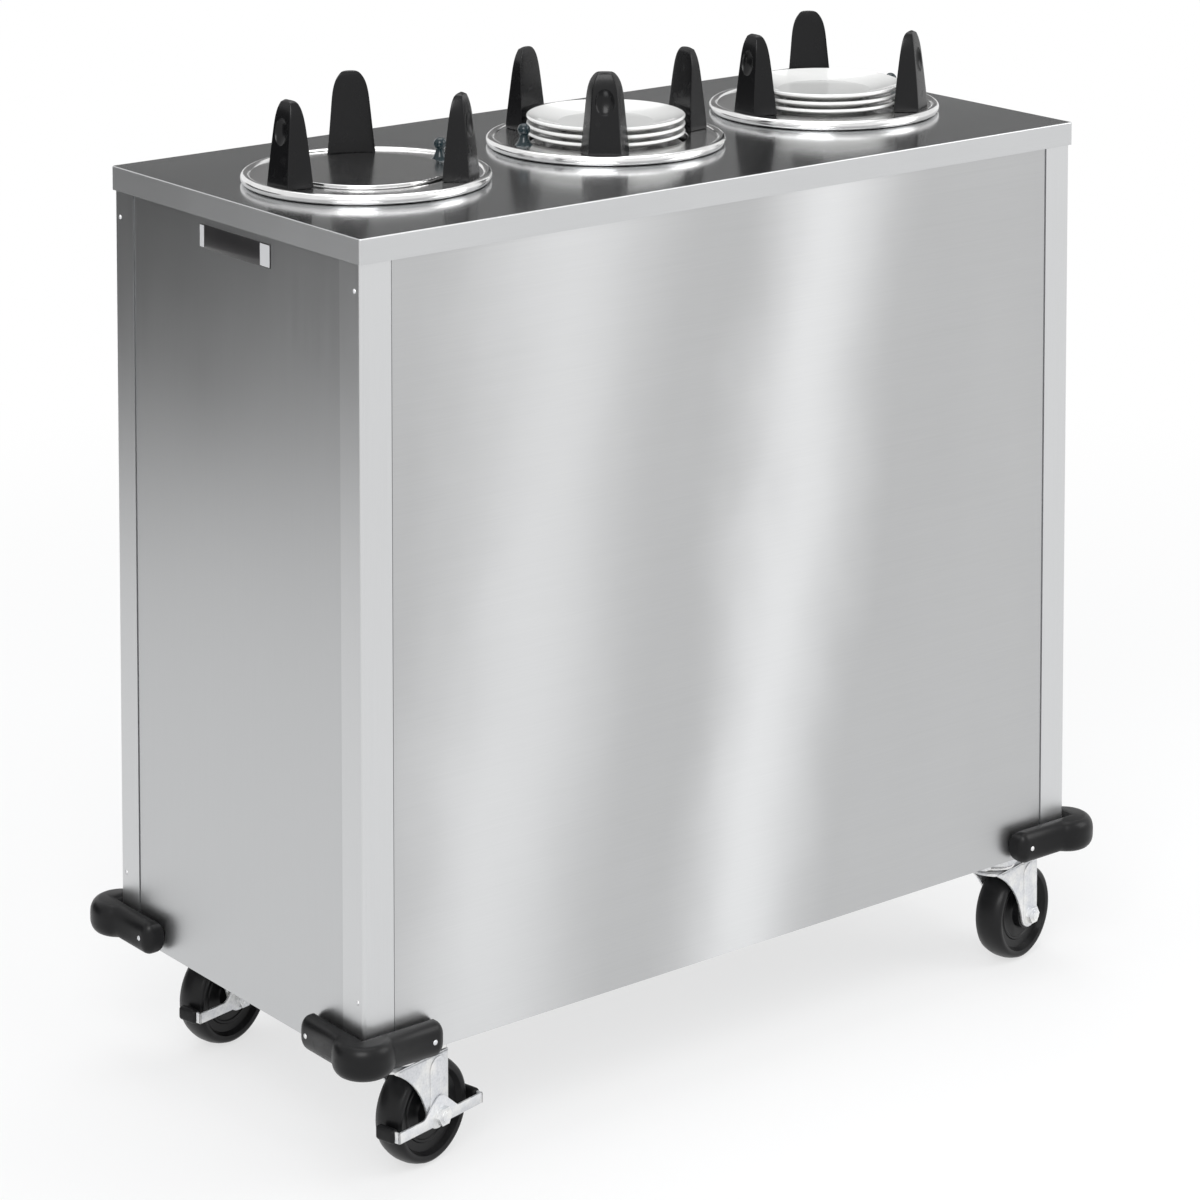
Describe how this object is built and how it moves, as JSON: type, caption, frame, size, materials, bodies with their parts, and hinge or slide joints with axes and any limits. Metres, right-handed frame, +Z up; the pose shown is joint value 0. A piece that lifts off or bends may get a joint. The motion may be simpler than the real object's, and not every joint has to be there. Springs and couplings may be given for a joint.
{
  "type": "plate dispenser",
  "caption": "Mobile cabinet on swivel casters with sprung self-levelling plate wells in its steel top.",
  "frame": {"origin": "on the floor, below the middle of the body", "axes": "+Z up, X along the length, the long front faces -Y"},
  "size_m": [0.9704, 0.4884, 1.0025],
  "materials": {
    "brushed_deck": "brushed stainless steel with a soft mirror",
    "brushed_steel": "brushed stainless steel sheet",
    "galvanised_steel": "plain zinc-coated sheet",
    "polished_rim": "bright rolled stainless steel",
    "carrier_steel": "bright stainless steel",
    "bright_rod": "ground bright rod",
    "spring_steel": "close-wound spring wire",
    "bearing_steel": "polished bearing balls",
    "zinc_plate": "bright zinc plate",
    "guide_plastic": "glossy black moulded plastic",
    "knob_plastic": "glossy dark teal plastic",
    "bush_plastic": "natural nylon",
    "bumper_rubber": "smooth black rubber",
    "grip_rubber": "smooth black rubber",
    "wheel_plastic": "satin black moulded wheel",
    "glazed_ware": "white glazed ware"
  },
  "bodies": {
    "cabinet": {"top_pan": "brushed_deck", "corner_post_front_left": "brushed_steel", "corner_post_front_right": "brushed_steel", "corner_post_rear_left": "brushed_steel", "corner_post_rear_right": "brushed_steel", "front_panel": "brushed_steel", "rear_panel": "brushed_steel", "left_panel": "brushed_steel", "right_panel": "brushed_steel", "base_pan": "galvanised_steel", "bumper_front_left": "bumper_rubber", "bumper_front_right": "bumper_rubber", "bumper_rear_left": "bumper_rubber", "bumper_rear_right": "bumper_rubber", "bumper_screws": "zinc_plate", "caster_plates": "zinc_plate", "caster_pads": "zinc_plate", "swivel_ball_rings": "bearing_steel", "kingpins": "zinc_plate", "caster_bolts": "zinc_plate", "guide_screws": "zinc_plate", "guide_rods": "bright_rod", "base_rings": "galvanised_steel", "rim_1": "polished_rim", "plate_guides_1": "guide_plastic", "lift_springs_1": "spring_steel", "rim_2": "polished_rim", "plate_guides_2": "guide_plastic", "lift_springs_2": "spring_steel", "rim_3": "polished_rim", "plate_guides_3": "guide_plastic", "lift_springs_3": "spring_steel"},
    "rim_knob_1": {"rim_knob_1": "knob_plastic"},
    "carrier_1": {"carrier_1": "carrier_steel", "carrier_bushes_1": "bush_plastic"},
    "rim_knob_2": {"rim_knob_2": "knob_plastic"},
    "carrier_2": {"carrier_2": "carrier_steel", "carrier_bushes_2": "bush_plastic"},
    "rim_knob_3": {"rim_knob_3": "knob_plastic"},
    "carrier_3": {"carrier_3": "carrier_steel", "carrier_bushes_3": "bush_plastic"},
    "plates_2": {"plates_2": "glazed_ware"},
    "plates_3": {"plates_3": "glazed_ware"},
    "caster_fork_front_left": {"caster_fork_front_left": "zinc_plate", "axle_front_left": "zinc_plate"},
    "wheel_front_left": {"wheel_front_left": "wheel_plastic"},
    "caster_fork_front_right": {"caster_fork_front_right": "zinc_plate", "axle_front_right": "zinc_plate"},
    "wheel_front_right": {"wheel_front_right": "wheel_plastic"},
    "caster_fork_rear_left": {"caster_fork_rear_left": "zinc_plate", "axle_rear_left": "zinc_plate"},
    "wheel_rear_left": {"wheel_rear_left": "wheel_plastic"},
    "caster_fork_rear_right": {"caster_fork_rear_right": "zinc_plate", "axle_rear_right": "zinc_plate"},
    "wheel_rear_right": {"wheel_rear_right": "wheel_plastic"},
    "brake_front_left": {"brake_lever_front_left": "zinc_plate", "brake_grips_front_left": "grip_rubber"},
    "brake_rear_left": {"brake_lever_rear_left": "zinc_plate", "brake_grips_rear_left": "grip_rubber"}
  },
  "joints": [
    {"name": "carrier_1_lift", "type": "slide", "parent": "cabinet", "child": "carrier_1", "axis": [0, 0, -1], "range_m": [0, 0.45], "stiffness_N_per_m": 120, "springref_m": -0.16, "deforming": ["lift_springs_1"]},
    {"name": "rim_knob_1_turn", "type": "hinge", "parent": "cabinet", "child": "rim_knob_1", "pos_m": [-0.20336, 0.00828, 0.92], "axis": [0, 0, 1], "range_deg": [-180, 180]},
    {"name": "carrier_2_lift", "type": "slide", "parent": "cabinet", "child": "carrier_2", "axis": [0, 0, -1], "range_m": [-0.012, 0.438], "stiffness_N_per_m": 120, "springref_m": -0.155, "deforming": ["lift_springs_2"]},
    {"name": "rim_knob_2_turn", "type": "hinge", "parent": "cabinet", "child": "rim_knob_2", "pos_m": [-0.09383, 0.01486, 0.92], "axis": [0, 0, 1], "range_deg": [-180, 180]},
    {"name": "carrier_3_lift", "type": "slide", "parent": "cabinet", "child": "carrier_3", "axis": [0, 0, -1], "range_m": [-0.012, 0.438], "stiffness_N_per_m": 120, "springref_m": -0.155, "deforming": ["lift_springs_3"]},
    {"name": "rim_knob_3_turn", "type": "hinge", "parent": "cabinet", "child": "rim_knob_3", "pos_m": [0.39299, -0.00166, 0.92], "axis": [0, 0, 1], "range_deg": [-180, 180]},
    {"name": "plates_2_lift_off", "type": "slide", "parent": "carrier_2", "child": "plates_2", "axis": [0, 0, 1], "range_m": [0, 0.12]},
    {"name": "plates_3_lift_off", "type": "slide", "parent": "carrier_3", "child": "plates_3", "axis": [0, 0, 1], "range_m": [0, 0.12]},
    {"name": "caster_swivel_front_left", "type": "hinge", "parent": "cabinet", "child": "caster_fork_front_left", "pos_m": [-0.391, -0.172, 0.12], "axis": [0, 0, 1], "continuous": true},
    {"name": "wheel_spin_front_left", "type": "hinge", "parent": "caster_fork_front_left", "child": "wheel_front_left", "pos_m": [-0.35481, -0.16431, 0.051], "axis": [0.2079, -0.9781, 0], "continuous": true},
    {"name": "brake_lever_front_left_rock", "type": "hinge", "parent": "caster_fork_front_left", "child": "brake_front_left", "pos_m": [-0.35481, -0.16431, 0.051], "axis": [0.2079, -0.9781, 0], "range_deg": [0, 14]},
    {"name": "caster_swivel_front_right", "type": "hinge", "parent": "cabinet", "child": "caster_fork_front_right", "pos_m": [0.391, -0.172, 0.12], "axis": [0, 0, 1], "continuous": true},
    {"name": "wheel_spin_front_right", "type": "hinge", "parent": "caster_fork_front_right", "child": "wheel_front_right", "pos_m": [0.42719, -0.16431, 0.051], "axis": [0.2079, -0.9781, 0], "continuous": true},
    {"name": "caster_swivel_rear_left", "type": "hinge", "parent": "cabinet", "child": "caster_fork_rear_left", "pos_m": [-0.391, 0.172, 0.12], "axis": [0, 0, 1], "continuous": true},
    {"name": "wheel_spin_rear_left", "type": "hinge", "parent": "caster_fork_rear_left", "child": "wheel_rear_left", "pos_m": [-0.35481, 0.17969, 0.051], "axis": [0.2079, -0.9781, 0], "continuous": true},
    {"name": "brake_lever_rear_left_rock", "type": "hinge", "parent": "caster_fork_rear_left", "child": "brake_rear_left", "pos_m": [-0.35481, 0.17969, 0.051], "axis": [0.2079, -0.9781, 0], "range_deg": [0, 14]},
    {"name": "caster_swivel_rear_right", "type": "hinge", "parent": "cabinet", "child": "caster_fork_rear_right", "pos_m": [0.391, 0.172, 0.12], "axis": [0, 0, 1], "continuous": true},
    {"name": "wheel_spin_rear_right", "type": "hinge", "parent": "caster_fork_rear_right", "child": "wheel_rear_right", "pos_m": [0.42719, 0.17969, 0.051], "axis": [0.2079, -0.9781, 0], "continuous": true}
  ]
}
